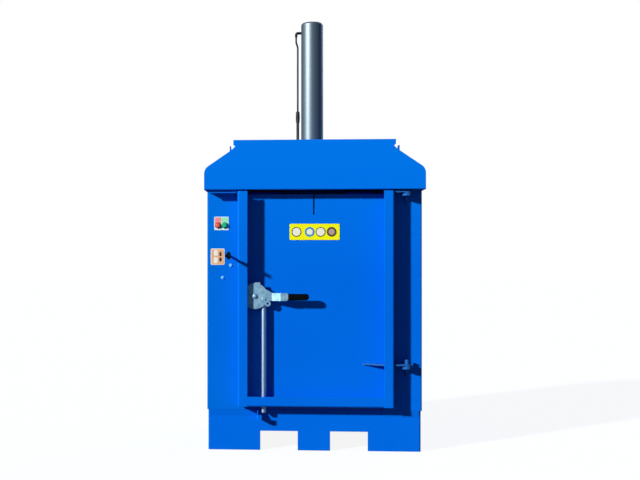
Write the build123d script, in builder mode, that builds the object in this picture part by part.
"""Drum crusher: a floor-standing hydraulic press that flattens steel drums behind a hinged door.

Frame: +X to the right seen from the front, +Y to the rear, +Z up, in millimetres.
The origin is on the floor, under the axis of the press cylinder.
"""

import os

from build123d import *

os.makedirs("parts", exist_ok=True)

# Body and base
body_width = 1000.0
body_depth = 760.0
body_height = 1050.0
column_width = 180.0
base_height = 190.0
base_setback = 5.0
base_sheet = 5.0
base_corner = 8.0
deck_thickness = 10.0
skin = 3.0
skin_bend = 7.0
overrun = 20.0
touch_gap = 0.3
fit_gap = 0.05
quarter_turn = 90.0

# Fork pockets in the base
pocket_width = 175.0
pocket_height = 90.0
pocket_pitch = 326.0
bearer_sheet = 5.0
bearer_bend = 9.0
skid_gap = 5.0

# Crushing chamber
chamber_plate = 8.0
rear_setback = 48.0
floor_thickness = 35.0
floor_setback = 8.0
floor_groove_width = 14.0
floor_groove_depth = 4.0
floor_groove_pitch = 120.0
floor_groove_count = 5
floor_groove_margin = 60.0
stiffener_width = 90.0
stiffener_depth = 40.0
stiffener_sheet = 5.0
stiffener_bend = 9.0
stiffener_pitch = 300.0
lintel_height = 64.0
lintel_depth = 60.0
lintel_sheet = 6.0
lintel_bend = 9.0
lintel_drop = 14.0

# Head beams and cylinder mounting
beam_height = 160.0
beam_flange_width = 65.0
beam_web_thickness = 8.0
beam_flange_thickness = 10.5
beam_root_radius = 9.0
beam_gap = 150.0
beam_rest = 40.0
mount_plate_size = 300.0
mount_plate_thickness = 25.0
mount_corner_radius = 12.0
mount_bolt_radius = 10.0
mount_bolt_pitch = 220.0
mount_bolt_head_radius = 17.0
mount_bolt_head_height = 12.0
mount_nut_height = 16.0

# Hood over the head
hood_overhang = 80.0
hood_rear_gap = 12.0
hood_side_gap = 9.0
hood_drop = 23.0
hood_sheet = 4.0
hood_slope_run = 119.0
hood_slope_rise = 81.0
hood_foot_drop = 5.0
hood_upstand_height = 25.0
hood_upstand_length = 70.0
hood_eave_radius = 44.0
hood_crease_radius = 6.0
fascia_rise = 47.0
fascia_strip_inset = 17.0
fascia_strip_height = 22.0
fascia_notch_depth = 8.0
fascia_return_depth = 24.0
fascia_bend = 5.0
drip_lip_height = 14.0
drip_lip_gap = 6.0
roof_plate_thickness = 4.0
roof_barrel_gap = 5.0
roof_hose_gap = 5.0

# Press cylinder and ram
barrel_radius = 55.0
bore_radius = 48.0
barrel_length = 865.0
cap_thickness = 22.0
cap_edge_radius = 13.0
cap_spigot_length = 15.0
flange_radius = 95.0
flange_thickness = 25.0
gland_drop = 25.0
gland_rise = 42.0
gland_outer_radius = 58.0
rod_radius = 28.0
rod_exposed_length = 25.0
piston_height = 60.0
piston_gap = 0.1
piston_drop = 85.0
platen_side_gap = 12.0
platen_end_gap = 21.0
platen_thickness = 20.0
platen_rib_height = 45.0
platen_rib_thickness = 12.0
platen_rib_inset = 98.0
platen_rib_pitch = 250.0
platen_rib_margin = 30.0
platen_rib_chamfer = 25.0
hub_radius = 50.0
hub_height = 18.0

# Door
door_lap_left = 34.0
door_lap_right = 46.0
door_rise = 23.0
door_head_gap = 6.0
door_panel_drop = 12.0
door_sheet = 5.0
door_bend = 9.0
door_gap = 4.0
door_lip_width = 46.0
door_depth = 73.0
slit_width = 6.5
slit_length = 96.0

# Door hinges
hinge_side_gap = 61.0
hinge_front_gap = 40.0
hinge_pin_radius = 10.0
hinge_eye_radius = 22.0
arm_thickness = 8.0
arm_lip_gap = 8.0
arm_tip_depth = 5.0
lower_arm_rise = 191.0
lower_arm_reach = 140.0
lug_thickness = 15.0
lug_width = 44.0
lower_pin_above = 20.0
upper_pin_above = 3.0
pin_chamfer = 1.5
rib_depth = 30.0
rib_height = 40.0
rib_thickness = 8.0

# Latch on the door
latch_inset = 79.0
latch_rise = 511.0
latch_height = 38.0
latch_plate_thickness = 6.0
latch_disc_radius = 60.0
handle_height = 36.0
handle_drop = 3.5
joggle_start_length = 82.0
joggle_length = 38.0
joggle_rise = 22.0
joggle_bend = 8.0
neck_length = 50.0
neck_share = 0.55
stop_tab_width = 24.0
stop_tab_height = 4.0
stop_tab_root = 12.0
stop_tab_shift = 13.0
handle_flat_length = 30.0
handle_taper_length = 5.0
handle_tongue_height = 20.0
handle_tongue_length = 78.0
grip_length = 96.0
grip_height = 30.0
grip_thickness = 21.0
grip_root_radius = 3.0
grip_tip_radius = 14.0
grip_edge_radius = 6.0
lug_eye_reach = 60.0
lug_eye_drop = 34.0
lug_eye_radius = 14.0
lug_eye_hole_radius = 5.0
pivot_radius = 8.0
pivot_head_radius = 11.0
pivot_head_height = 9.0
pivot_head_dome_radius = 7.5
boss_radius = 22.0
boss_floor_thickness = 5.0
crank_reach = 42.0
crank_drop = 14.0
crank_pin_radius = 6.0
crank_head_radius = 9.0
crank_head_height = 4.0
rod_eye_radius = 17.0
rod_gap = 1.0
latch_rod_radius = 12.0
latch_rod_drop = 10.0
latch_rod_chamfer = 3.0
rod_slot_length = 44.0
rod_slot_width = 28.0
rod_slot_shift = 5.0
keeper_side_gap = 31.5
keeper_lip_width = 22.0
keeper_sheet = 5.0
keeper_drop = 40.0
keeper_rise = 6.0
keeper_lip_drop = 18.0
keeper_reach = 60.0
keeper_bend = 7.0
keeper_slope_length = 18.0

# Push buttons
button_plate_offset = 23.0
button_plate_drop = 176.5
button_plate_width = 68.0
button_plate_height = 63.0
button_plate_thickness = 2.0
button_plate_corner_radius = 3.0
button_pitch = 32.0
button_drop = 9.5
button_hole_radius = 11.6
button_radius = 11.0
button_stand_height = 14.0
button_dome_radius = 5.0
button_stem_radius = 5.0
button_stem_length = 22.0
button_collar_depth = 6.0
bezel_radius = 14.5
bezel_height = 5.0
bezel_chamfer = 1.5
switch_box_width = 78.0
switch_box_height = 74.0
switch_box_depth = 45.0
switch_box_corner_radius = 5.0
switch_stem_depth = 32.0

# Control valve, its lever and bracket
lever_offset = 12.0
lever_drop = 328.0
lever_setback = 24.0
lever_radius = 6.0
lever_reach = 168.0
lever_eye_radius = 9.0
lever_eye_width = 14.0
lever_pin_radius = 4.0
lever_pin_length = 40.0
lever_slot_width = 18.0
lever_slot_height = 36.0
knob_length = 46.0
knob_tip_radius = 8.5
knob_root_radius = 7.5
knob_dome_radius = 7.0
knob_edge_radius = 1.0
knob_seat_depth = 34.0
cheek_gap = 16.0
cheek_thickness = 6.0
cheek_height = 30.0
cheek_reach = 24.0
valve_width = 80.0
valve_depth = 60.0
valve_setback = 35.0
valve_rise = 23.0
valve_chamfer = 3.0
bracket_sheet = 6.0
bracket_bend = 9.0
bracket_height = 95.0
bracket_drop = 27.0
upper_bolt_shift = 9.0
upper_bolt_drop = 46.0
lower_bolt_shift = -29.0
lower_bolt_drop = 103.5
valve_bolt_radius = 5.0
valve_bolt_head_radius = 8.5
valve_bolt_head_height = 5.5
valve_bolt_dome_radius = 4.5

# Power unit in the left column
tank_margin = 12.0
tank_front_gap = 150.0
tank_rear_gap = 130.0
tank_height = 310.0
tank_corner_radius = 14.0
tank_lid_thickness = 6.0
tank_lid_margin = 4.0
motor_inset = 140.0
motor_side_gap = 4.5
motor_fin_height = 8.0
motor_fin_thickness = 4.0
motor_fin_count = 24
motor_height = 220.0
bell_step = 8.0
bell_height = 74.0
fan_cover_height = 48.0
fan_cover_radius = 14.0
filler_radius = 20.0
filler_height = 30.0
filler_edge_radius = 4.0

# Hydraulic lines
hose_radius = 7.0
hose_bend = 60.0
low_hose_bend = 45.0
tank_hose_bend = 30.0
hose_pitch = 44.0
pipe_radius = 4.5
port_radius = 3.0
pipe_side_gap = 17.0
pipe_jog_length = 26.0
pipe_jog_depth = 8.0
pipe_bend = 25.0
elbow_radius = 6.5
elbow_bend = 9.0
fitting_radius = 9.0
fitting_length = 20.0
tank_fitting_length = 26.0
ferrule_radius = 9.0
ferrule_length = 55.0
upper_port_drop = 27.0
lower_port_rise = 72.0
hose_joint_rise = 234.0
hose_run_rise = 90.0
high_elbow_rise = 125.0
high_shoulder_rise = 120.0
low_elbow_rise = 105.0
low_shoulder_rise = 110.0
valve_port_depth = 30.0
feed_port_drop = 63.0
return_port_drop = 103.0
feed_line_reach = 145.0
return_line_reach = 90.0

# Side access cover of the power unit
cover_front_gap = 130.0
cover_rear_gap = 80.0
cover_rise = 50.0
cover_head_gap = 340.0
cover_sheet = 3.0
cover_corner_radius = 8.0
cover_overlap = 22.0
cover_screw_radius = 4.0
cover_screw_head_radius = 7.5
cover_screw_head_height = 4.0
cover_screw_margin = 11.0
louvre_length = 150.0
louvre_width = 9.0
louvre_pitch = 24.0
louvre_count = 8
louvre_drop = 160.0

# Places of the body and the base
half_width = body_width / 2
half_depth = body_depth / 2
base_width = body_width - 2 * base_setback
base_depth = body_depth - 2 * base_setback
deck_bottom = base_height - deck_thickness
column_top = base_height + body_height
column_x = half_width - column_width / 2
chamber_half = half_width - column_width
chamber_width = 2 * chamber_half
chamber_rear = half_depth - rear_setback
floor_front = half_depth - floor_setback
floor_top = base_height + floor_thickness
lintel_bottom = column_top - lintel_drop

# Places of the head and the hood
beam_top = column_top + beam_height
beam_length = chamber_width + 2 * (chamber_plate + beam_rest)
mount_bottom = column_top - mount_plate_thickness
hood_front = half_depth + hood_overhang
hood_rear = half_depth + hood_rear_gap
hood_half_width = half_width + hood_side_gap
hood_bottom = column_top - hood_drop
hood_upstand_x = hood_half_width - hood_slope_run
hood_upstand_foot = beam_top - hood_foot_drop
hood_upstand_top = hood_upstand_foot + hood_upstand_height
hood_eave = hood_upstand_foot - hood_slope_rise
fascia_top = beam_top + fascia_rise
fascia_strip_x = hood_upstand_x - fascia_strip_inset

# Places of the cylinder and the ram
barrel_bottom = mount_bottom - flange_thickness
barrel_top = barrel_bottom + barrel_length
piston_rest = barrel_top - piston_drop
platen_top = barrel_bottom - gland_drop - rod_exposed_length
platen_bottom = platen_top - platen_thickness
platen_width = chamber_width - 2 * platen_side_gap
platen_depth = half_depth + chamber_rear - 2 * platen_end_gap
platen_y = (chamber_rear - half_depth) / 2
upper_port_z = barrel_top - upper_port_drop
lower_port_z = barrel_bottom + lower_port_rise

# Places of the door, its hinges and its latch
door_left = -chamber_half - door_lap_left
door_right = chamber_half + door_lap_right
door_bottom = base_height + door_rise
door_top = hood_bottom - door_head_gap
door_panel_top = door_top - door_panel_drop
door_back_y = -half_depth - door_gap
door_panel_y = door_back_y - door_sheet
door_front_y = door_back_y - door_depth
hinge_x = door_right + hinge_side_gap
hinge_y = -half_depth - hinge_front_gap
arm_front_y = door_front_y + door_sheet + arm_lip_gap
lower_arm_z = door_bottom + lower_arm_rise
upper_arm_z = door_top - arm_thickness
latch_x = door_left + latch_inset
latch_z = door_bottom + latch_rise
latch_back_y = door_panel_y - latch_height
latch_face_y = latch_back_y - latch_plate_thickness
joggle_start_x = latch_x + joggle_start_length
joggle_end_x = joggle_start_x + joggle_length
handle_back_y = latch_back_y - joggle_rise
handle_z = latch_z - handle_drop
handle_flat_x = joggle_end_x + handle_flat_length
grip_x = handle_flat_x + handle_taper_length
tongue_end_x = grip_x + handle_tongue_length
crank_x = latch_x + crank_reach
crank_z = latch_z - crank_drop
rod_eye_thickness = 2 * latch_rod_radius
rod_y = latch_back_y + rod_gap + latch_rod_radius
latch_rod_tip = base_height - latch_rod_drop
keeper_front = base_depth / 2 + keeper_reach
keeper_x = crank_x - keeper_side_gap
keeper_bottom = base_height - keeper_drop
keeper_top = base_height + keeper_rise
keeper_lip_top = base_height - keeper_lip_drop

# Places of the controls and the power unit
button_plate_x = -column_x - button_plate_offset
button_plate_z = column_top - button_plate_drop
button_z = button_plate_z - button_drop
plate_face_y = -half_depth - button_plate_thickness
lever_x = -column_x + lever_offset
lever_z = column_top - lever_drop
lever_pivot_y = -half_depth + lever_setback
lever_end_y = -half_depth - lever_reach
knob_root_y = lever_end_y + knob_seat_depth
knob_tip_y = knob_root_y - knob_length
valve_front = half_depth - valve_setback
valve_rear = valve_front - valve_depth
valve_top = lever_z + valve_rise
bracket_top = lever_z - bracket_drop
bracket_bottom = bracket_top - bracket_height
valve_bolt_places = (
    (lever_x + upper_bolt_shift, lever_z - upper_bolt_drop),
    (lever_x + lower_bolt_shift, lever_z - lower_bolt_drop),
)
tank_width = column_width - skin - chamber_plate - 2 * tank_margin
tank_x = -half_width + (column_width + skin - chamber_plate) / 2
tank_front = -half_depth + tank_front_gap
tank_rear = half_depth - tank_rear_gap
tank_top = base_height + tank_height
motor_foot = tank_top + tank_lid_thickness
motor_y = tank_rear - motor_inset
motor_radius = tank_width / 2 - motor_side_gap
motor_core_radius = motor_radius - motor_fin_height
bell_radius = motor_core_radius - bell_step
high_hose_x = lever_x - hose_pitch / 2
low_hose_x = lever_x + hose_pitch / 2
pipe_x = -barrel_radius - pipe_side_gap
elbow_x = pipe_x - pipe_jog_depth
pipe_top = upper_port_z - fitting_length
hose_joint_z = beam_top + hose_joint_rise
hose_run_high = column_top + hose_run_rise
high_hose_elbow = valve_top + high_elbow_rise
high_hose_shoulder = high_hose_elbow + high_shoulder_rise
low_hose_elbow = valve_top + low_elbow_rise
low_hose_shoulder = low_hose_elbow + low_shoulder_rise
valve_port_y = -valve_front + valve_port_depth
feed_port_z = valve_top - feed_port_drop
return_port_z = valve_top - return_port_drop
feed_line_y = -valve_rear + feed_line_reach
return_line_y = -valve_rear + return_line_reach
filler_y = (feed_line_y + ferrule_radius + motor_y - motor_radius) / 2
cover_front = -half_depth + cover_front_gap
cover_rear = half_depth - cover_rear_gap
cover_bottom = base_height + cover_rise
cover_top = column_top - cover_head_gap
louvre_y = motor_y
louvre_z = cover_top - louvre_drop


# Base: a folded skirt with two fork pockets open at the bottom
with BuildPart() as base_skirt:
    with BuildSketch():
        RectangleRounded(base_width, base_depth, base_corner)
        RectangleRounded(
            base_width - 2 * base_sheet,
            base_depth - 2 * base_sheet,
            base_corner - base_sheet,
            mode=Mode.SUBTRACT,
        )
    extrude(amount=base_height)
    with BuildSketch(Plane.XZ):
        with GridLocations(pocket_pitch, 0, 2, 1):
            Rectangle(pocket_width, pocket_height, align=(Align.CENTER, Align.MIN))
    extrude(amount=body_depth, both=True, mode=Mode.SUBTRACT)
base_skirt.part.label = "base_skirt"
export_step(base_skirt.part, "parts/base_skirt.step")

# Fork bearers: channels under the deck that the tines lift against, one over each pocket
for side, name in ((-1, "fork_bearer_left"), (1, "fork_bearer_right")):
    bearer_x = side * pocket_pitch / 2
    with BuildPart() as fork_bearer:
        with BuildSketch(Plane.XZ):
            with BuildLine():
                FilletPolyline(
                    (bearer_x - pocket_width / 2, deck_bottom),
                    (bearer_x - pocket_width / 2, pocket_height),
                    (bearer_x + pocket_width / 2, pocket_height),
                    (bearer_x + pocket_width / 2, deck_bottom),
                    radius=bearer_bend,
                )
                offset(amount=bearer_sheet, side=Side.LEFT)
            make_face()
        extrude(amount=base_depth / 2 - base_sheet, both=True)
    fork_bearer.part.label = name
    export_step(fork_bearer.part, f"parts/{name}.step")

# Centre skid: a channel on the floor between the pockets that carries the deck
with BuildPart() as centre_skid:
    skid_half_width = (pocket_pitch - pocket_width) / 2 - skid_gap
    with BuildSketch(Plane.XZ):
        with BuildLine():
            FilletPolyline(
                (-skid_half_width, deck_bottom),
                (-skid_half_width, 0),
                (skid_half_width, 0),
                (skid_half_width, deck_bottom),
                radius=bearer_bend,
            )
            offset(amount=bearer_sheet, side=Side.LEFT)
        make_face()
    extrude(amount=base_depth / 2 - base_sheet, both=True)
centre_skid.part.label = "centre_skid"
export_step(centre_skid.part, "parts/centre_skid.step")

# Deck that closes the base
with BuildPart() as base_deck:
    with BuildSketch(Plane.XY.offset(deck_bottom)):
        RectangleRounded(
            base_width - 2 * base_sheet,
            base_depth - 2 * base_sheet,
            base_corner - base_sheet,
        )
    extrude(amount=deck_thickness)
base_deck.part.label = "base_deck"
export_step(base_deck.part, "parts/base_deck.step")

# Crushing floor: a thick plate with drain grooves that run to the front
with BuildPart() as crush_floor:
    with BuildSketch(Plane.XY.offset(base_height)):
        with Locations((0, (chamber_rear - floor_front) / 2)):
            Rectangle(chamber_width - 2 * touch_gap, chamber_rear + floor_front - touch_gap)
    extrude(amount=floor_thickness)
    with BuildSketch(Plane.XY.offset(floor_top)):
        with Locations((0, -floor_groove_margin)):
            with GridLocations(floor_groove_pitch, 0, floor_groove_count, 1):
                Rectangle(floor_groove_width, chamber_rear + floor_front - floor_groove_margin)
    extrude(amount=-floor_groove_depth, mode=Mode.SUBTRACT)
crush_floor.part.label = "crush_floor"
export_step(crush_floor.part, "parts/crush_floor.step")


def column_plan(side):
    """Plan of one column: a sheet folded round its front, its outer side and its rear."""
    with BuildLine() as plan:
        FilletPolyline(
            (side * chamber_half, -half_depth),
            (side * half_width, -half_depth),
            (side * half_width, half_depth),
            (side * chamber_half, half_depth),
            radius=skin_bend,
        )
        offset(amount=skin, side=Side.LEFT if side > 0 else Side.RIGHT)
    make_face(plan.edges())


# Left column: the cabinet of the power unit, pierced for the controls and the side cover
with BuildPart() as left_column:
    with BuildSketch(Plane.XY.offset(base_height)):
        column_plan(-1)
    extrude(amount=body_height)
    with BuildSketch(Plane.XZ.offset(half_depth)):
        with Locations((button_plate_x, button_z)):
            with GridLocations(button_pitch, 0, 2, 1):
                Circle(button_hole_radius)
        with Locations((lever_x, lever_z)):
            SlotOverall(lever_slot_height, lever_slot_width, rotation=quarter_turn)
        with Locations(*valve_bolt_places):
            Circle(valve_bolt_radius + fit_gap)
    extrude(amount=overrun, both=True, mode=Mode.SUBTRACT)
    with BuildSketch(Plane.YZ.offset(-half_width)):
        with Locations(((cover_front + cover_rear) / 2, (cover_bottom + cover_top) / 2)):
            RectangleRounded(
                cover_rear - cover_front - 2 * cover_overlap,
                cover_top - cover_bottom - 2 * cover_overlap,
                cover_corner_radius,
            )
            with GridLocations(
                cover_rear - cover_front - 2 * cover_screw_margin,
                (cover_top - cover_bottom) / 2 - cover_screw_margin,
                2,
                3,
            ):
                Circle(cover_screw_radius + fit_gap)
    extrude(amount=overrun, both=True, mode=Mode.SUBTRACT)
left_column.part.label = "left_column"
export_step(left_column.part, "parts/left_column.step")

# Right column: the plain, closed post that carries the hinges
with BuildPart() as right_column:
    with BuildSketch(Plane.XY.offset(base_height)):
        column_plan(1)
    extrude(amount=body_height)
right_column.part.label = "right_column"
export_step(right_column.part, "parts/right_column.step")

# Side walls of the chamber, which close the columns on their inner side
for side, name in ((-1, "chamber_wall_left"), (1, "chamber_wall_right")):
    with BuildPart() as chamber_wall:
        with BuildSketch(Plane.XY.offset(base_height)):
            with Locations((side * (chamber_half + chamber_plate / 2), 0)):
                Rectangle(chamber_plate, body_depth - 2 * skin)
        extrude(amount=body_height)
    chamber_wall.part.label = name
    export_step(chamber_wall.part, f"parts/{name}.step")

# Rear wall of the chamber
with BuildPart() as chamber_rear_wall:
    with BuildSketch(Plane.XY.offset(base_height)):
        with Locations((0, chamber_rear + chamber_plate / 2)):
            Rectangle(chamber_width, chamber_plate)
    extrude(amount=body_height)
chamber_rear_wall.part.label = "chamber_rear_wall"
export_step(chamber_rear_wall.part, "parts/chamber_rear_wall.step")

# Channels welded upright on the rear wall against bulging
for side, name in ((-1, "rear_stiffener_left"), (1, "rear_stiffener_right")):
    stiffener_x = side * stiffener_pitch / 2
    stiffener_foot_y = chamber_rear + chamber_plate
    with BuildPart() as rear_stiffener:
        with BuildSketch(Plane.XY.offset(base_height)):
            with BuildLine():
                FilletPolyline(
                    (stiffener_x - stiffener_width / 2, stiffener_foot_y),
                    (stiffener_x - stiffener_width / 2, stiffener_foot_y + stiffener_depth),
                    (stiffener_x + stiffener_width / 2, stiffener_foot_y + stiffener_depth),
                    (stiffener_x + stiffener_width / 2, stiffener_foot_y),
                    radius=stiffener_bend,
                )
                offset(amount=stiffener_sheet, side=Side.RIGHT)
            make_face()
        extrude(amount=body_height)
    rear_stiffener.part.label = name
    export_step(rear_stiffener.part, f"parts/{name}.step")

# Lintel: a channel between the chamber walls above the door
with BuildPart() as front_lintel:
    with BuildSketch(Plane.YZ):
        with BuildLine():
            FilletPolyline(
                (-half_depth + skin + lintel_depth, lintel_bottom),
                (-half_depth + skin, lintel_bottom),
                (-half_depth + skin, lintel_bottom + lintel_height),
                (-half_depth + skin + lintel_depth, lintel_bottom + lintel_height),
                radius=lintel_bend,
            )
            offset(amount=lintel_sheet, side=Side.RIGHT)
        make_face()
    extrude(amount=chamber_half, both=True)
front_lintel.part.label = "front_lintel"
export_step(front_lintel.part, "parts/front_lintel.step")

# Head beams: two rolled channels back to back across the top, one each side of the cylinder
for side, name in ((-1, "head_beam_front"), (1, "head_beam_rear")):
    web_y = side * beam_gap / 2
    with BuildPart() as head_beam:
        with BuildSketch(Plane.YZ):
            with Locations((web_y + side * beam_flange_width / 2, column_top + beam_height / 2)):
                Rectangle(beam_flange_width, beam_height)
            with Locations((web_y + side * (beam_web_thickness + beam_flange_width / 2), column_top + beam_height / 2)):
                RectangleRounded(
                    beam_flange_width,
                    beam_height - 2 * beam_flange_thickness,
                    beam_root_radius,
                    mode=Mode.SUBTRACT,
                )
        extrude(amount=beam_length / 2, both=True)
        with BuildSketch(Plane.XY.offset(column_top)):
            with GridLocations(mount_bolt_pitch, 0, 2, 1):
                with Locations((0, side * mount_bolt_pitch / 2)):
                    Circle(mount_bolt_radius + fit_gap)
        extrude(amount=beam_flange_thickness + fit_gap, mode=Mode.SUBTRACT)
    head_beam.part.label = name
    export_step(head_beam.part, f"parts/{name}.step")

# Mounting plate under the beams, which the cylinder's flange pushes against
with BuildPart() as cylinder_mount:
    with BuildSketch(Plane.XY.offset(mount_bottom)):
        RectangleRounded(mount_plate_size, mount_plate_size, mount_corner_radius)
        Circle(barrel_radius + touch_gap, mode=Mode.SUBTRACT)
        with GridLocations(mount_bolt_pitch, mount_bolt_pitch, 2, 2):
            Circle(mount_bolt_radius + fit_gap, mode=Mode.SUBTRACT)
    extrude(amount=mount_plate_thickness)
cylinder_mount.part.label = "cylinder_mount"
export_step(cylinder_mount.part, "parts/cylinder_mount.step")

# Four bolts with nuts that hold the mounting plate to the beams
with BuildPart() as mount_bolts:
    with GridLocations(mount_bolt_pitch, mount_bolt_pitch, 2, 2):
        with Locations((0, 0, mount_bottom)):
            Cylinder(
                mount_bolt_radius,
                mount_plate_thickness + beam_flange_thickness,
                align=(Align.CENTER, Align.CENTER, Align.MIN),
            )
    with BuildSketch(Plane.XY.offset(mount_bottom - mount_bolt_head_height)):
        with GridLocations(mount_bolt_pitch, mount_bolt_pitch, 2, 2):
            RegularPolygon(mount_bolt_head_radius, 6)
    extrude(amount=mount_bolt_head_height)
    with BuildSketch(Plane.XY.offset(column_top + beam_flange_thickness)):
        with GridLocations(mount_bolt_pitch, mount_bolt_pitch, 2, 2):
            RegularPolygon(mount_bolt_head_radius, 6)
    extrude(amount=mount_nut_height)
mount_bolts.part.label = "mount_bolts"
export_step(mount_bolts.part, "parts/mount_bolts.step")

# Roof sheets: skirt, rounded eave, slope and upstand bent from one sheet on each side,
# the upstand standing full height as a tab behind the fascia only
for side, name in ((-1, "roof_sheet_left"), (1, "roof_sheet_right")):
    with BuildPart() as roof_sheet:
        with BuildSketch(Plane.XZ.offset(-hood_rear)):
            with BuildLine():
                FilletPolyline(
                    (side * hood_half_width, hood_bottom),
                    (side * hood_half_width, hood_eave),
                    (side * hood_upstand_x, hood_upstand_foot),
                    (side * hood_upstand_x, hood_upstand_top),
                    radius=(hood_eave_radius, hood_crease_radius),
                )
                offset(amount=hood_sheet, side=Side.LEFT if side > 0 else Side.RIGHT)
            make_face()
        extrude(amount=hood_rear + hood_front - hood_sheet)
        with BuildSketch(Plane.YZ):
            with Locations((hood_upstand_length - hood_front, beam_top + roof_plate_thickness)):
                Rectangle(hood_rear + hood_front, hood_upstand_height, align=Align.MIN)
        extrude(amount=hood_half_width, both=True, mode=Mode.SUBTRACT)
    roof_sheet.part.label = name
    export_step(roof_sheet.part, f"parts/{name}.step")

# Roof plate on the beams, with holes for the barrel and the hose
with BuildPart() as roof_plate:
    with BuildSketch(Plane.XY.offset(beam_top)):
        with Locations((0, (hood_rear - hood_front) / 2)):
            Rectangle(2 * (hood_upstand_x - hood_sheet), hood_rear + hood_front - 2 * hood_sheet)
        Circle(barrel_radius + roof_barrel_gap, mode=Mode.SUBTRACT)
        with Locations((pipe_x, 0)):
            Circle(ferrule_radius + roof_hose_gap, mode=Mode.SUBTRACT)
    extrude(amount=roof_plate_thickness)
roof_plate.part.label = "roof_plate"
export_step(roof_plate.part, "parts/roof_plate.step")


def fascia_outline():
    """Half of the fascia's outline, mirrored: skirt, eave, slope, corner notch and top strip."""
    strip_bottom = fascia_top - fascia_strip_height
    slope_share = (hood_eave - hood_upstand_foot) / (hood_half_width - hood_upstand_x)
    notch_x = fascia_strip_x - fascia_notch_depth
    slope_top_x = fascia_strip_x + fascia_notch_depth
    slope_top_z = hood_eave + slope_share * (slope_top_x - hood_half_width)
    with BuildLine() as outline:
        FilletPolyline(
            (0, hood_bottom),
            (hood_half_width, hood_bottom),
            (hood_half_width, hood_eave),
            (slope_top_x, slope_top_z),
            (notch_x, strip_bottom - fascia_notch_depth),
            (fascia_strip_x, strip_bottom),
            (fascia_strip_x, fascia_top),
            (0, fascia_top),
            radius=(0, hood_eave_radius, 0, 0, 0, 0),
        )
        mirror(about=Plane.YZ)
    make_face(outline.edges())


# Hood fascia: the front plate with its bottom edge folded back, and down again left of the door
with BuildPart() as hood_fascia:
    with BuildSketch(Plane.XZ.offset(hood_front - hood_sheet)):
        fascia_outline()
    extrude(amount=hood_sheet)
    with BuildSketch(Plane.XY.offset(hood_bottom)):
        with Locations((0, -hood_front)):
            Rectangle(
                2 * (hood_half_width - hood_sheet - touch_gap),
                fascia_return_depth,
                align=(Align.CENTER, Align.MIN),
            )
    extrude(amount=hood_sheet)
    fillet(
        hood_fascia.edges().filter_by(Axis.X).group_by(Axis.Y)[0].sort_by(Axis.Z)[0],
        fascia_bend,
    )
    drip_end_x = hood_sheet + touch_gap - hood_half_width
    with BuildSketch(Plane.XZ.offset(hood_front - fascia_return_depth)):
        with BuildLine():
            Polyline(
                (drip_end_x, hood_bottom + hood_sheet),
                (drip_end_x, hood_bottom),
                (drip_end_x + drip_lip_height, hood_bottom - drip_lip_height),
                (door_left - drip_lip_gap, hood_bottom - drip_lip_height),
                (door_left - drip_lip_gap, hood_bottom + hood_sheet),
                close=True,
            )
        make_face()
    extrude(amount=hood_sheet)
hood_fascia.part.label = "hood_fascia"
export_step(hood_fascia.part, "parts/hood_fascia.step")

# Rear fascia: the same plate closing the hood behind
with BuildPart() as rear_fascia:
    with BuildSketch(Plane.XZ.offset(-hood_rear - hood_sheet)):
        fascia_outline()
    extrude(amount=hood_sheet)
rear_fascia.part.label = "rear_fascia"
export_step(rear_fascia.part, "parts/rear_fascia.step")

# Cylinder barrel with its two port holes and the flange that bears on the mounting plate
with BuildPart() as cylinder_barrel:
    with BuildSketch(Plane.XY.offset(barrel_bottom)):
        Circle(barrel_radius)
    extrude(amount=barrel_top - barrel_bottom)
    with BuildSketch(Plane.XY.offset(barrel_bottom)):
        Circle(flange_radius)
    extrude(amount=mount_bottom - barrel_bottom)
    with BuildSketch(Plane.XY.offset(barrel_bottom)):
        Circle(bore_radius)
    extrude(amount=barrel_top - barrel_bottom, mode=Mode.SUBTRACT)
    for port_z in (upper_port_z, lower_port_z):
        with BuildSketch(Plane.YZ.offset(-barrel_radius - overrun)):
            with Locations((0, port_z)):
                Circle(port_radius)
        extrude(amount=barrel_radius, mode=Mode.SUBTRACT)
cylinder_barrel.part.label = "cylinder_barrel"
export_step(cylinder_barrel.part, "parts/cylinder_barrel.step")

# End cap: a rounded disc with a spigot in the bore
with BuildPart() as cylinder_cap:
    with BuildSketch(Plane.XY.offset(barrel_top)):
        Circle(barrel_radius)
    extrude(amount=cap_thickness)
    fillet(cylinder_cap.edges().sort_by(Axis.Z)[-1], cap_edge_radius)
    with BuildSketch(Plane.XY.offset(barrel_top)):
        Circle(bore_radius - fit_gap)
    extrude(amount=-cap_spigot_length)
cylinder_cap.part.label = "cylinder_cap"
export_step(cylinder_cap.part, "parts/cylinder_cap.step")

# Gland: closes the barrel below and guides the rod
with BuildPart() as cylinder_gland:
    with BuildSketch(Plane.XY.offset(barrel_bottom - gland_drop)):
        Circle(gland_outer_radius)
    extrude(amount=gland_drop)
    with BuildSketch(Plane.XY.offset(barrel_bottom)):
        Circle(bore_radius - fit_gap)
    extrude(amount=gland_rise)
    with BuildSketch(Plane.XY.offset(barrel_bottom - gland_drop)):
        Circle(rod_radius + fit_gap)
    extrude(amount=gland_drop + gland_rise, mode=Mode.SUBTRACT)
cylinder_gland.part.label = "cylinder_gland"
export_step(cylinder_gland.part, "parts/cylinder_gland.step")

# Piston rod with its piston in the bore, down to the platen
with BuildPart() as piston_rod:
    with BuildSketch(Plane.XY.offset(platen_top)):
        Circle(rod_radius)
    extrude(amount=piston_rest - platen_top)
    with BuildSketch(Plane.XY.offset(piston_rest)):
        Circle(bore_radius - piston_gap)
    extrude(amount=piston_height)
piston_rod.part.label = "piston_rod"
export_step(piston_rod.part, "parts/piston_rod.step")

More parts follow.
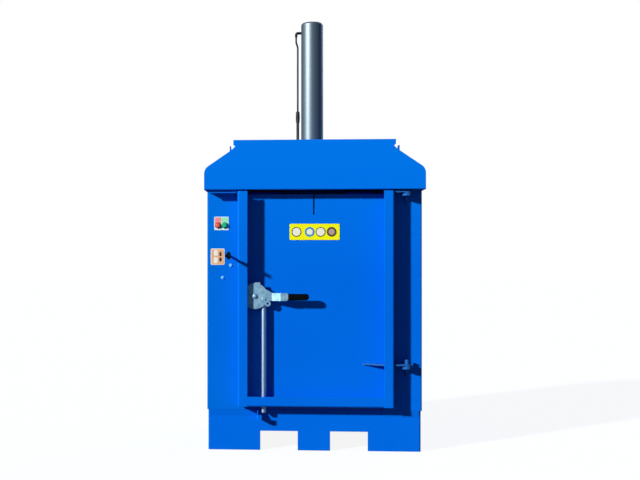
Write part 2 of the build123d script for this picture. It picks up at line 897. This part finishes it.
# Platen: crushing plate with a grid of ribs and a hub round the rod
with BuildPart() as platen:
    with BuildSketch(Plane.XY.offset(platen_bottom)):
        with Locations((0, platen_y)):
            Rectangle(platen_width, platen_depth)
    extrude(amount=platen_thickness)
    with BuildSketch(Plane.XY.offset(platen_top)):
        with GridLocations(platen_width - 2 * platen_rib_inset, 0, 2, 1):
            with Locations((0, platen_y)):
                Rectangle(platen_rib_thickness, platen_depth - 2 * platen_rib_margin)
        with GridLocations(0, platen_rib_pitch, 1, 2):
            Rectangle(platen_width - 2 * platen_rib_margin, platen_rib_thickness)
    extrude(amount=platen_rib_height)
    rib_ends = platen.edges().group_by(Axis.Z)[-1]
    chamfer(
        rib_ends.filter_by(Axis.X).sort_by(Axis.Y)[:2]
        + rib_ends.filter_by(Axis.X).sort_by(Axis.Y)[-2:]
        + rib_ends.filter_by(Axis.Y).sort_by(Axis.X)[:2]
        + rib_ends.filter_by(Axis.Y).sort_by(Axis.X)[-2:],
        platen_rib_chamfer,
    )
    with BuildSketch(Plane.XY.offset(platen_top)):
        Circle(hub_radius)
        Circle(rod_radius + fit_gap, mode=Mode.SUBTRACT)
    extrude(amount=hub_height)
platen.part.label = "platen"
export_step(platen.part, "parts/platen.step")

# Door pan: panel, side walls and front lips folded from one sheet, with the bottom edge folded alike
with BuildPart() as door_pan:
    with BuildSketch(Plane.XY.offset(door_bottom)):
        with BuildLine():
            FilletPolyline(
                (door_left + door_lip_width, door_front_y),
                (door_left, door_front_y),
                (door_left, door_back_y),
                (door_right, door_back_y),
                (door_right, door_front_y),
                (door_right - door_lip_width, door_front_y),
                radius=door_bend,
            )
            offset(amount=door_sheet, side=Side.RIGHT)
        make_face()
    extrude(amount=door_top - door_bottom)
    with BuildSketch(Plane.YZ.offset(door_left + door_bend)):
        with BuildLine():
            FilletPolyline(
                (door_panel_y, door_bottom),
                (door_front_y, door_bottom),
                (door_front_y, door_bottom + door_lip_width),
                radius=door_bend,
            )
            offset(amount=door_sheet, side=Side.RIGHT)
        make_face()
    extrude(amount=door_right - door_left - 2 * door_bend)
    # The panel's top edge is lower between the lips, with a slit in its middle
    with BuildSketch(Plane.XZ.offset(-door_back_y)):
        with Locations(((door_left + door_right) / 2, door_top)):
            Rectangle(
                door_right - door_left - 2 * door_lip_width,
                door_top - door_panel_top,
                align=(Align.CENTER, Align.MAX),
            )
        with Locations((0, door_panel_top)):
            Rectangle(slit_width, 2 * slit_length)
    extrude(amount=door_sheet, mode=Mode.SUBTRACT)
    # Slots for the hinge arms through the right wall, and for the latch rod through the bottom wall
    with BuildSketch(Plane.YZ.offset(door_right - 2 * door_sheet)):
        for slot_z, slot_height in (
            (lower_arm_z - fit_gap, arm_thickness + 2 * fit_gap),
            (upper_arm_z - fit_gap, arm_thickness + overrun),
        ):
            with Locations(((arm_front_y + door_panel_y) / 2 - fit_gap, slot_z)):
                Rectangle(
                    door_panel_y - arm_front_y,
                    slot_height,
                    align=(Align.CENTER, Align.MIN),
                )
    extrude(amount=door_sheet * 3, mode=Mode.SUBTRACT)
    with BuildSketch(Plane.XY.offset(door_bottom - overrun)):
        with Locations((crank_x - rod_slot_shift, rod_y)):
            SlotOverall(rod_slot_length, rod_slot_width)
    extrude(amount=door_sheet + overrun + fit_gap, mode=Mode.SUBTRACT)
door_pan.part.label = "door_pan"
export_step(door_pan.part, "parts/door_pan.step")


def hinge_arm(tip_x):
    """Plan of a hinge arm: a gusset on the door that widens to a round eye on the pin."""
    with BuildLine() as plan:
        Polyline(
            (tip_x, door_panel_y - fit_gap),
            (hinge_x - hinge_eye_radius, door_panel_y - fit_gap),
            (hinge_x, hinge_y),
            (hinge_x, hinge_y - hinge_eye_radius),
            (door_right, arm_front_y),
            (door_right - door_lip_width, arm_front_y),
            (tip_x, door_panel_y - arm_tip_depth),
            close=True,
        )
    make_face(plan.edges())
    with Locations((hinge_x, hinge_y)):
        Circle(hinge_eye_radius)
        Circle(hinge_pin_radius + fit_gap, mode=Mode.SUBTRACT)


# Hinge arms welded through the door's right wall
with BuildPart() as lower_hinge_arm:
    with BuildSketch(Plane.XY.offset(lower_arm_z)):
        hinge_arm(door_right - lower_arm_reach)
    extrude(amount=arm_thickness)
lower_hinge_arm.part.label = "lower_hinge_arm"
export_step(lower_hinge_arm.part, "parts/lower_hinge_arm.step")

with BuildPart() as upper_hinge_arm:
    with BuildSketch(Plane.XY.offset(upper_arm_z)):
        hinge_arm(door_right - door_lip_width)
    extrude(amount=arm_thickness)
upper_hinge_arm.part.label = "upper_hinge_arm"
export_step(upper_hinge_arm.part, "parts/upper_hinge_arm.step")

# Hinge lugs on the right column, each a plate with a rib below and a pin welded in
for arm_z, pin_above, place in (
    (lower_arm_z, lower_pin_above, "lower"),
    (upper_arm_z, upper_pin_above, "upper"),
):
    lug_top = arm_z - touch_gap
    with BuildPart() as hinge_lug:
        with BuildSketch(Plane.XY.offset(lug_top - lug_thickness)):
            with Locations((hinge_x, hinge_y)):
                Circle(lug_width / 2)
                Rectangle(lug_width, -half_depth - hinge_y, align=(Align.CENTER, Align.MIN))
        extrude(amount=lug_thickness)
        with BuildSketch(Plane.YZ.offset(hinge_x - rib_thickness / 2)):
            with BuildLine():
                Polyline(
                    (-half_depth, lug_top - lug_thickness),
                    (-half_depth, lug_top - lug_thickness - rib_height),
                    (-half_depth - rib_depth, lug_top - lug_thickness),
                    close=True,
                )
            make_face()
        extrude(amount=rib_thickness)
        with BuildSketch(Plane.XY.offset(lug_top)):
            with Locations((hinge_x, hinge_y)):
                Circle(hinge_pin_radius)
        extrude(amount=touch_gap + arm_thickness + pin_above)
        chamfer(hinge_lug.edges().sort_by(Axis.Z)[-1], pin_chamfer)
    hinge_lug.part.label = f"{place}_hinge_lug"
    export_step(hinge_lug.part, f"parts/{place}_hinge_lug.step")

# Latch plate: a disc with a neck that runs into the joggled handle
with BuildPart() as latch_plate:
    with BuildSketch(Plane.XZ.offset(-latch_back_y)):
        with Locations((latch_x, latch_z)):
            Circle(latch_disc_radius)
        with BuildLine():
            Polyline(
                (latch_x, latch_z + latch_disc_radius),
                (latch_x + neck_length, latch_z + latch_disc_radius * neck_share),
                (joggle_start_x, handle_z + handle_height / 2),
                (joggle_start_x, handle_z - handle_height / 2),
                (latch_x, handle_z - handle_height / 2),
                close=True,
            )
        make_face()
        with Locations((latch_x + lug_eye_reach, latch_z - lug_eye_drop)):
            Circle(lug_eye_radius)
        with Locations((latch_x + stop_tab_shift, latch_z + latch_disc_radius + stop_tab_height)):
            Rectangle(stop_tab_width, stop_tab_root, align=(Align.CENTER, Align.MAX))
    extrude(amount=latch_plate_thickness)
    with BuildSketch(Plane.XY.offset(handle_z - handle_height / 2)):
        with BuildLine():
            FilletPolyline(
                (joggle_start_x - joggle_bend, latch_back_y),
                (joggle_start_x, latch_back_y),
                (joggle_end_x, handle_back_y),
                (handle_flat_x, handle_back_y),
                radius=joggle_bend,
            )
            offset(amount=latch_plate_thickness, side=Side.RIGHT)
        make_face()
    extrude(amount=handle_height)
    with BuildSketch(Plane.XZ.offset(-handle_back_y)):
        with BuildLine():
            Polyline(
                (handle_flat_x, handle_z + handle_height / 2),
                (grip_x, handle_z + handle_tongue_height / 2),
                (tongue_end_x, handle_z + handle_tongue_height / 2),
                (tongue_end_x, handle_z - handle_tongue_height / 2),
                (grip_x, handle_z - handle_tongue_height / 2),
                (handle_flat_x, handle_z - handle_height / 2),
                close=True,
            )
        make_face()
    extrude(amount=latch_plate_thickness)
    with BuildSketch(Plane.XZ.offset(-latch_back_y)):
        with Locations((latch_x, latch_z)):
            Circle(pivot_radius + fit_gap)
        with Locations((crank_x, crank_z)):
            Circle(crank_pin_radius + fit_gap)
        with Locations((latch_x + lug_eye_reach, latch_z - lug_eye_drop)):
            Circle(lug_eye_hole_radius)
    extrude(amount=latch_plate_thickness, mode=Mode.SUBTRACT)
latch_plate.part.label = "latch_plate"
export_step(latch_plate.part, "parts/latch_plate.step")

# Grip: a moulded sleeve pushed over the handle's tongue
with BuildPart() as latch_grip:
    grip_y = handle_back_y - latch_plate_thickness / 2
    with BuildSketch(Plane.XZ.offset(-grip_y - grip_thickness / 2)):
        with BuildLine():
            FilletPolyline(
                (grip_x, handle_z - grip_height / 2),
                (grip_x + grip_length, handle_z - grip_height / 2),
                (grip_x + grip_length, handle_z + grip_height / 2),
                (grip_x, handle_z + grip_height / 2),
                radius=(grip_root_radius, grip_tip_radius, grip_tip_radius, grip_root_radius),
                close=True,
            )
        make_face()
    extrude(amount=grip_thickness)
    fillet(latch_grip.faces().sort_by(Axis.Y)[0].edges(), grip_edge_radius)
    fillet(latch_grip.faces().sort_by(Axis.Y)[-1].edges(), grip_edge_radius)
    with BuildSketch(Plane.XZ.offset(-handle_back_y - fit_gap)):
        with Locations((grip_x - fit_gap, handle_z)):
            Rectangle(
                handle_tongue_length + 2 * fit_gap,
                handle_tongue_height + 2 * fit_gap,
                align=(Align.MIN, Align.CENTER),
            )
    extrude(amount=latch_plate_thickness + 2 * fit_gap, mode=Mode.SUBTRACT)
latch_grip.part.label = "latch_grip"
export_step(latch_grip.part, "parts/latch_grip.step")

# Boss on the door panel that carries the latch's pivot bolt
with BuildPart() as latch_boss:
    with BuildSketch(Plane.XZ.offset(-door_panel_y)):
        with Locations((latch_x, latch_z)):
            Circle(boss_radius)
    extrude(amount=latch_height - touch_gap)
    with BuildSketch(Plane.XZ.offset(-door_panel_y + boss_floor_thickness)):
        with Locations((latch_x, latch_z)):
            Circle(pivot_radius + fit_gap)
    extrude(amount=latch_height, mode=Mode.SUBTRACT)
latch_boss.part.label = "latch_boss"
export_step(latch_boss.part, "parts/latch_boss.step")

# Pivot bolt with a round head, through the disc into the boss
with BuildPart() as latch_pivot_bolt:
    with BuildSketch(Plane.XZ.offset(-door_panel_y + boss_floor_thickness)):
        with Locations((latch_x, latch_z)):
            Circle(pivot_radius)
    extrude(amount=latch_height - boss_floor_thickness + latch_plate_thickness + touch_gap)
    with BuildSketch(Plane.XZ.offset(-latch_face_y + touch_gap)):
        with Locations((latch_x, latch_z)):
            Circle(pivot_head_radius)
    extrude(amount=pivot_head_height)
    fillet(latch_pivot_bolt.edges().sort_by(Axis.Y)[0], pivot_head_dome_radius)
latch_pivot_bolt.part.label = "latch_pivot_bolt"
export_step(latch_pivot_bolt.part, "parts/latch_pivot_bolt.step")

# Crank pin on the disc, from which the rod hangs
with BuildPart() as crank_pin:
    with BuildSketch(Plane.XZ.offset(-rod_y - rod_eye_thickness / 2)):
        with Locations((crank_x, crank_z)):
            Circle(crank_pin_radius)
    extrude(amount=rod_eye_thickness + rod_gap + latch_plate_thickness)
    with BuildSketch(Plane.XZ.offset(-latch_face_y)):
        with Locations((crank_x, crank_z)):
            Circle(crank_head_radius)
    extrude(amount=crank_head_height)
    fillet(crank_pin.edges().sort_by(Axis.Y)[0], crank_head_height / 2)
crank_pin.part.label = "crank_pin"
export_step(crank_pin.part, "parts/crank_pin.step")

# Latch rod with its eye on the crank pin
with BuildPart() as latch_rod:
    with BuildSketch(Plane.XY.offset(latch_rod_tip)):
        with Locations((crank_x, rod_y)):
            Circle(latch_rod_radius)
    extrude(amount=crank_z - latch_rod_tip)
    chamfer(latch_rod.edges().sort_by(Axis.Z)[0], latch_rod_chamfer)
    with BuildSketch(Plane.XZ.offset(-rod_y - rod_eye_thickness / 2)):
        with Locations((crank_x, crank_z)):
            Circle(rod_eye_radius)
    extrude(amount=rod_eye_thickness)
    with BuildSketch(Plane.XZ.offset(-rod_y - rod_eye_thickness)):
        with Locations((crank_x, crank_z)):
            Circle(crank_pin_radius + fit_gap)
    extrude(amount=2 * rod_eye_thickness, mode=Mode.SUBTRACT)
latch_rod.part.label = "latch_rod"
export_step(latch_rod.part, "parts/latch_rod.step")

# Keeper on the base: a bent hook with a cheek and a low front lip that the rod drops behind
with BuildPart() as latch_keeper:
    with BuildSketch(Plane.XY.offset(keeper_bottom)):
        with BuildLine():
            FilletPolyline(
                (keeper_x, -base_depth / 2),
                (keeper_x, -keeper_front),
                (keeper_x + keeper_lip_width, -keeper_front),
                radius=keeper_bend,
            )
            offset(amount=keeper_sheet, side=Side.LEFT)
        make_face()
    extrude(amount=keeper_top - keeper_bottom)
    with BuildSketch(Plane.YZ.offset(keeper_x)):
        with BuildLine():
            Polyline(
                (-keeper_front - overrun, keeper_lip_top),
                (-keeper_front + keeper_bend, keeper_lip_top),
                (-keeper_front + keeper_bend + keeper_slope_length, keeper_top),
                (-keeper_front - overrun, keeper_top),
                close=True,
            )
        make_face()
    extrude(amount=2 * keeper_lip_width, both=True, mode=Mode.SUBTRACT)
latch_keeper.part.label = "latch_keeper"
export_step(latch_keeper.part, "parts/latch_keeper.step")

# Legend plate of the push buttons
with BuildPart() as button_plate:
    with BuildSketch(Plane.XZ.offset(half_depth)):
        with Locations((button_plate_x, button_plate_z)):
            RectangleRounded(button_plate_width, button_plate_height, button_plate_corner_radius)
        with Locations((button_plate_x, button_z)):
            with GridLocations(button_pitch, 0, 2, 1):
                Circle(button_hole_radius, mode=Mode.SUBTRACT)
    extrude(amount=button_plate_thickness)
button_plate.part.label = "button_plate"
export_step(button_plate.part, "parts/button_plate.step")

# Bezel rings round the buttons
with BuildPart() as button_bezels:
    with BuildSketch(Plane.XZ.offset(-plate_face_y)):
        with Locations((button_plate_x, button_z)):
            with GridLocations(button_pitch, 0, 2, 1):
                Circle(bezel_radius)
                Circle(button_hole_radius, mode=Mode.SUBTRACT)
    extrude(amount=bezel_height)
    chamfer(
        button_bezels.faces().sort_by(Axis.Y)[:2].edges().filter_by(lambda e: e.radius > button_hole_radius),
        bezel_chamfer,
    )
button_bezels.part.label = "button_bezels"
export_step(button_bezels.part, "parts/button_bezels.step")

# Push buttons: domed caps on stems that reach the switch box
for side, name in ((-1, "stop_button"), (1, "start_button")):
    button_x = button_plate_x + side * button_pitch / 2
    with BuildPart() as push_button:
        with BuildSketch(Plane.XZ.offset(half_depth - skin)):
            with Locations((button_x, button_z)):
                Circle(button_radius)
        extrude(amount=skin + button_stand_height)
        fillet(push_button.edges().sort_by(Axis.Y)[0], button_dome_radius)
        with BuildSketch(Plane.XZ.offset(half_depth - skin - button_stem_length)):
            with Locations((button_x, button_z)):
                Circle(button_stem_radius)
        extrude(amount=button_stem_length)
    push_button.part.label = name
    export_step(push_button.part, f"parts/{name}.step")

# Switch box behind the buttons, bored for their stems
with BuildPart() as switch_box:
    with BuildSketch(Plane.XZ.offset(half_depth - skin - switch_box_depth)):
        with Locations((button_plate_x, button_z)):
            RectangleRounded(switch_box_width, switch_box_height, switch_box_corner_radius)
    extrude(amount=switch_box_depth)
    with BuildSketch(Plane.XZ.offset(half_depth - skin - button_collar_depth)):
        with Locations((button_plate_x, button_z)):
            with GridLocations(button_pitch, 0, 2, 1):
                Circle(button_hole_radius)
    extrude(amount=button_collar_depth, mode=Mode.SUBTRACT)
    with BuildSketch(Plane.XZ.offset(half_depth - skin - switch_stem_depth)):
        with Locations((button_plate_x, button_z)):
            with GridLocations(button_pitch, 0, 2, 1):
                Circle(button_stem_radius + fit_gap)
    extrude(amount=switch_stem_depth, mode=Mode.SUBTRACT)
switch_box.part.label = "switch_box"
export_step(switch_box.part, "parts/switch_box.step")

# Bracket behind the left front that carries the control valve
with BuildPart() as valve_bracket:
    with BuildSketch(Plane.YZ.offset(lever_x - valve_width / 2)):
        with BuildLine():
            FilletPolyline(
                (-half_depth + skin, bracket_top),
                (-half_depth + skin, bracket_bottom),
                (-valve_rear, bracket_bottom),
                radius=bracket_bend,
            )
            offset(amount=bracket_sheet, side=Side.LEFT)
        make_face()
    extrude(amount=valve_width)
    with BuildSketch(Plane.XZ.offset(half_depth)):
        with Locations(*valve_bolt_places):
            Circle(valve_bolt_radius + fit_gap)
    extrude(amount=-overrun, mode=Mode.SUBTRACT)
valve_bracket.part.label = "valve_bracket"
export_step(valve_bracket.part, "parts/valve_bracket.step")

# Two round-headed bolts that hold the bracket to the front
with BuildPart() as valve_bolts:
    with BuildSketch(Plane.XZ.offset(half_depth - skin - bracket_sheet)):
        with Locations(*valve_bolt_places):
            Circle(valve_bolt_radius)
    extrude(amount=skin + bracket_sheet)
    with BuildSketch(Plane.XZ.offset(half_depth)):
        with Locations(*valve_bolt_places):
            Circle(valve_bolt_head_radius)
    extrude(amount=valve_bolt_head_height)
    fillet(
        valve_bolts.faces().sort_by(Axis.Y)[:2].edges(),
        valve_bolt_dome_radius,
    )
valve_bolts.part.label = "valve_bolts"
export_step(valve_bolts.part, "parts/valve_bolts.step")

# Control valve: a block with two cheeks in front and the lever's pin across them
with BuildPart() as control_valve:
    with BuildSketch(Plane.XZ.offset(valve_rear)):
        with Locations((lever_x, bracket_bottom + bracket_sheet)):
            Rectangle(valve_width, valve_top - bracket_bottom - bracket_sheet, align=(Align.CENTER, Align.MIN))
    extrude(amount=valve_front - valve_rear)
    chamfer(control_valve.edges().filter_by(Axis.Y), valve_chamfer)
    with BuildSketch(Plane.XZ.offset(valve_front)):
        with GridLocations(cheek_gap + cheek_thickness, 0, 2, 1):
            with Locations((lever_x, lever_z)):
                Rectangle(cheek_thickness, cheek_height)
    extrude(amount=cheek_reach)
    with BuildSketch(Plane.YZ.offset(lever_x - lever_pin_length / 2)):
        with Locations((lever_pivot_y, lever_z)):
            Circle(lever_pin_radius)
    extrude(amount=lever_pin_length)
control_valve.part.label = "control_valve"
export_step(control_valve.part, "parts/control_valve.step")

# Valve lever: an eye on the pin and a round bar out through the slot in the front
with BuildPart() as valve_lever:
    with BuildSketch(Plane.YZ.offset(lever_x - lever_eye_width / 2)):
        with Locations((lever_pivot_y, lever_z)):
            Circle(lever_eye_radius)
    extrude(amount=lever_eye_width)
    with BuildSketch(Plane.XZ.offset(-lever_pivot_y)):
        with Locations((lever_x, lever_z)):
            Circle(lever_radius)
    extrude(amount=lever_pivot_y - lever_end_y)
    with BuildSketch(Plane.YZ.offset(lever_x - lever_eye_width)):
        with Locations((lever_pivot_y, lever_z)):
            Circle(lever_pin_radius + fit_gap)
    extrude(amount=2 * lever_eye_width, mode=Mode.SUBTRACT)
valve_lever.part.label = "valve_lever"
export_step(valve_lever.part, "parts/valve_lever.step")

# Slim moulded knob on the lever's end, thicker towards its round tip
with BuildPart() as lever_knob:
    with BuildSketch(Plane.XY.offset(lever_z)):
        with BuildLine():
            FilletPolyline(
                (lever_x, knob_tip_y),
                (lever_x + knob_tip_radius, knob_tip_y),
                (lever_x + knob_root_radius, knob_root_y),
                (lever_x, knob_root_y),
                radius=(knob_dome_radius, knob_edge_radius),
            )
            Line((lever_x, knob_root_y), (lever_x, knob_tip_y))
        make_face()
    revolve(axis=Axis((lever_x, 0, lever_z), (0, 1, 0)))
    with BuildSketch(Plane.XZ.offset(-knob_root_y)):
        with Locations((lever_x, lever_z)):
            Circle(lever_radius + fit_gap)
    extrude(amount=knob_seat_depth + fit_gap, mode=Mode.SUBTRACT)
lever_knob.part.label = "lever_knob"
export_step(lever_knob.part, "parts/lever_knob.step")

# Oil tank on the deck in the left column, with its lid and filler cap
with BuildPart() as oil_tank:
    with BuildSketch(Plane.XY.offset(base_height)):
        with Locations((tank_x, (tank_front + tank_rear) / 2)):
            RectangleRounded(tank_width, tank_rear - tank_front, tank_corner_radius)
    extrude(amount=tank_height)
    with BuildSketch(Plane.XY.offset(tank_top)):
        with Locations((tank_x, (tank_front + tank_rear) / 2)):
            RectangleRounded(
                tank_width + 2 * tank_lid_margin,
                tank_rear - tank_front + 2 * tank_lid_margin,
                tank_corner_radius,
            )
    extrude(amount=tank_lid_thickness)
    with BuildSketch(Plane.XY.offset(motor_foot)):
        with Locations((tank_x, filler_y)):
            Circle(filler_radius)
    extrude(amount=filler_height)
    fillet(oil_tank.edges().sort_by(Axis.Z)[-1], filler_edge_radius)
oil_tank.part.label = "oil_tank"
export_step(oil_tank.part, "parts/oil_tank.step")

# Electric motor on the lid: bell housing over the pump, finned body and fan cover
with BuildPart() as electric_motor:
    with BuildSketch(Plane.XY.offset(motor_foot)):
        with Locations((tank_x, motor_y)):
            Circle(bell_radius)
    extrude(amount=bell_height)
    with BuildSketch(Plane.XY.offset(motor_foot + bell_height)):
        with Locations((tank_x, motor_y)):
            Circle(motor_core_radius)
            with PolarLocations(motor_core_radius, motor_fin_count):
                Rectangle(2 * motor_fin_height, motor_fin_thickness)
    extrude(amount=motor_height)
    with BuildSketch(Plane.XY.offset(motor_foot + bell_height + motor_height)):
        with Locations((tank_x, motor_y)):
            Circle(motor_radius)
    extrude(amount=fan_cover_height)
    fillet(electric_motor.edges().sort_by(Axis.Z)[-1], fan_cover_radius)
electric_motor.part.label = "electric_motor"
export_step(electric_motor.part, "parts/electric_motor.step")


def run_tube(points, bends, radius):
    """A round tube or hose swept along straight runs joined by tangent arcs."""
    with BuildLine() as route:
        FilletPolyline(*points, radius=bends)
    with BuildSketch(Plane(route.line @ 0, z_dir=route.line % 0)) as section:
        Circle(radius)
    sweep(section.sketch, path=route.wires()[0])


# Elbow at the upper port, and the steel pipe that runs down beside the barrel
with BuildPart() as upper_elbow:
    run_tube(
        (
            (-barrel_radius, 0, upper_port_z),
            (elbow_x, 0, upper_port_z),
            (elbow_x, 0, pipe_top),
        ),
        elbow_bend,
        elbow_radius,
    )
upper_elbow.part.label = "upper_elbow"
export_step(upper_elbow.part, "parts/upper_elbow.step")

with BuildPart() as cylinder_pipe:
    run_tube(
        (
            (elbow_x, 0, pipe_top),
            (elbow_x, 0, pipe_top - pipe_jog_length),
            (pipe_x, 0, pipe_top - 2 * pipe_jog_length),
            (pipe_x, 0, hose_joint_z),
        ),
        pipe_bend,
        pipe_radius,
    )
cylinder_pipe.part.label = "cylinder_pipe"
export_step(cylinder_pipe.part, "parts/cylinder_pipe.step")

def hose_end(plane, length, radius):
    """A hexagonal hose fitting that stands on a plane."""
    with BuildSketch(plane) as section:
        RegularPolygon(radius, 6)
    extrude(section.sketch, amount=length)


# Upper hose: crimped to the pipe above the roof, then down to the control valve
with BuildPart() as upper_hose:
    with BuildSketch(Plane.XY.offset(hose_joint_z - ferrule_length)):
        with Locations((pipe_x, 0)):
            Circle(ferrule_radius)
    extrude(amount=ferrule_length)
    run_tube(
        (
            (pipe_x, 0, hose_joint_z - ferrule_length),
            (pipe_x, 0, hose_run_high),
            (high_hose_x, 0, hose_run_high),
            (high_hose_x, 0, high_hose_shoulder),
            (high_hose_x, valve_port_y, high_hose_elbow),
            (high_hose_x, valve_port_y, valve_top + fitting_length),
        ),
        hose_bend,
        hose_radius,
    )
    hose_end(Plane((high_hose_x, valve_port_y, valve_top)), fitting_length, fitting_radius)
upper_hose.part.label = "upper_hose"
export_step(upper_hose.part, "parts/upper_hose.step")

# Lower hose: from the barrel's lower port to the control valve
with BuildPart() as lower_hose:
    hose_end(
        Plane((-barrel_radius, 0, lower_port_z), x_dir=(0, 1, 0), z_dir=(-1, 0, 0)),
        fitting_length,
        fitting_radius,
    )
    run_tube(
        (
            (-barrel_radius - fitting_length, 0, lower_port_z),
            (low_hose_x, 0, lower_port_z),
            (low_hose_x, 0, low_hose_shoulder),
            (low_hose_x, valve_port_y, low_hose_elbow),
            (low_hose_x, valve_port_y, valve_top + fitting_length),
        ),
        low_hose_bend,
        hose_radius,
    )
    hose_end(Plane((low_hose_x, valve_port_y, valve_top)), fitting_length, fitting_radius)
lower_hose.part.label = "lower_hose"
export_step(lower_hose.part, "parts/lower_hose.step")

# Pressure and return hoses between the tank lid and the rear of the valve
for line_x, port_z, line_y, name in (
    (high_hose_x, feed_port_z, feed_line_y, "feed_hose"),
    (low_hose_x, return_port_z, return_line_y, "return_hose"),
):
    with BuildPart() as tank_hose:
        hose_end(
            Plane((line_x, -valve_rear, port_z), x_dir=(1, 0, 0), z_dir=(0, 1, 0)),
            fitting_length,
            fitting_radius,
        )
        run_tube(
            (
                (line_x, -valve_rear + fitting_length, port_z),
                (line_x, line_y, port_z),
                (line_x, line_y, motor_foot + tank_fitting_length),
            ),
            tank_hose_bend,
            hose_radius,
        )
        hose_end(Plane((line_x, line_y, motor_foot)), tank_fitting_length, fitting_radius)
    tank_hose.part.label = name
    export_step(tank_hose.part, f"parts/{name}.step")

# Access cover on the left side, with a row of vent slots, and its screws
with BuildPart() as access_cover:
    with BuildSketch(Plane.YZ.offset(-half_width - cover_sheet)):
        with Locations(((cover_front + cover_rear) / 2, (cover_bottom + cover_top) / 2)):
            RectangleRounded(cover_rear - cover_front, cover_top - cover_bottom, cover_corner_radius)
            with GridLocations(
                cover_rear - cover_front - 2 * cover_screw_margin,
                (cover_top - cover_bottom) / 2 - cover_screw_margin,
                2,
                3,
            ):
                Circle(cover_screw_radius + fit_gap, mode=Mode.SUBTRACT)
        with Locations((louvre_y, louvre_z)):
            with GridLocations(0, louvre_pitch, 1, louvre_count):
                SlotOverall(louvre_length, louvre_width, mode=Mode.SUBTRACT)
    extrude(amount=cover_sheet)
access_cover.part.label = "access_cover"
export_step(access_cover.part, "parts/access_cover.step")

with BuildPart() as cover_screws:
    for disc_radius, start, length in (
        (cover_screw_radius, -half_width - cover_sheet, cover_sheet + skin),
        (cover_screw_head_radius, -half_width - cover_sheet - cover_screw_head_height, cover_screw_head_height),
    ):
        with BuildSketch(Plane.YZ.offset(start)):
            with Locations(((cover_front + cover_rear) / 2, (cover_bottom + cover_top) / 2)):
                with GridLocations(
                    cover_rear - cover_front - 2 * cover_screw_margin,
                    (cover_top - cover_bottom) / 2 - cover_screw_margin,
                    2,
                    3,
                ):
                    Circle(disc_radius)
        extrude(amount=length)
cover_screws.part.label = "cover_screws"
export_step(cover_screws.part, "parts/cover_screws.step")
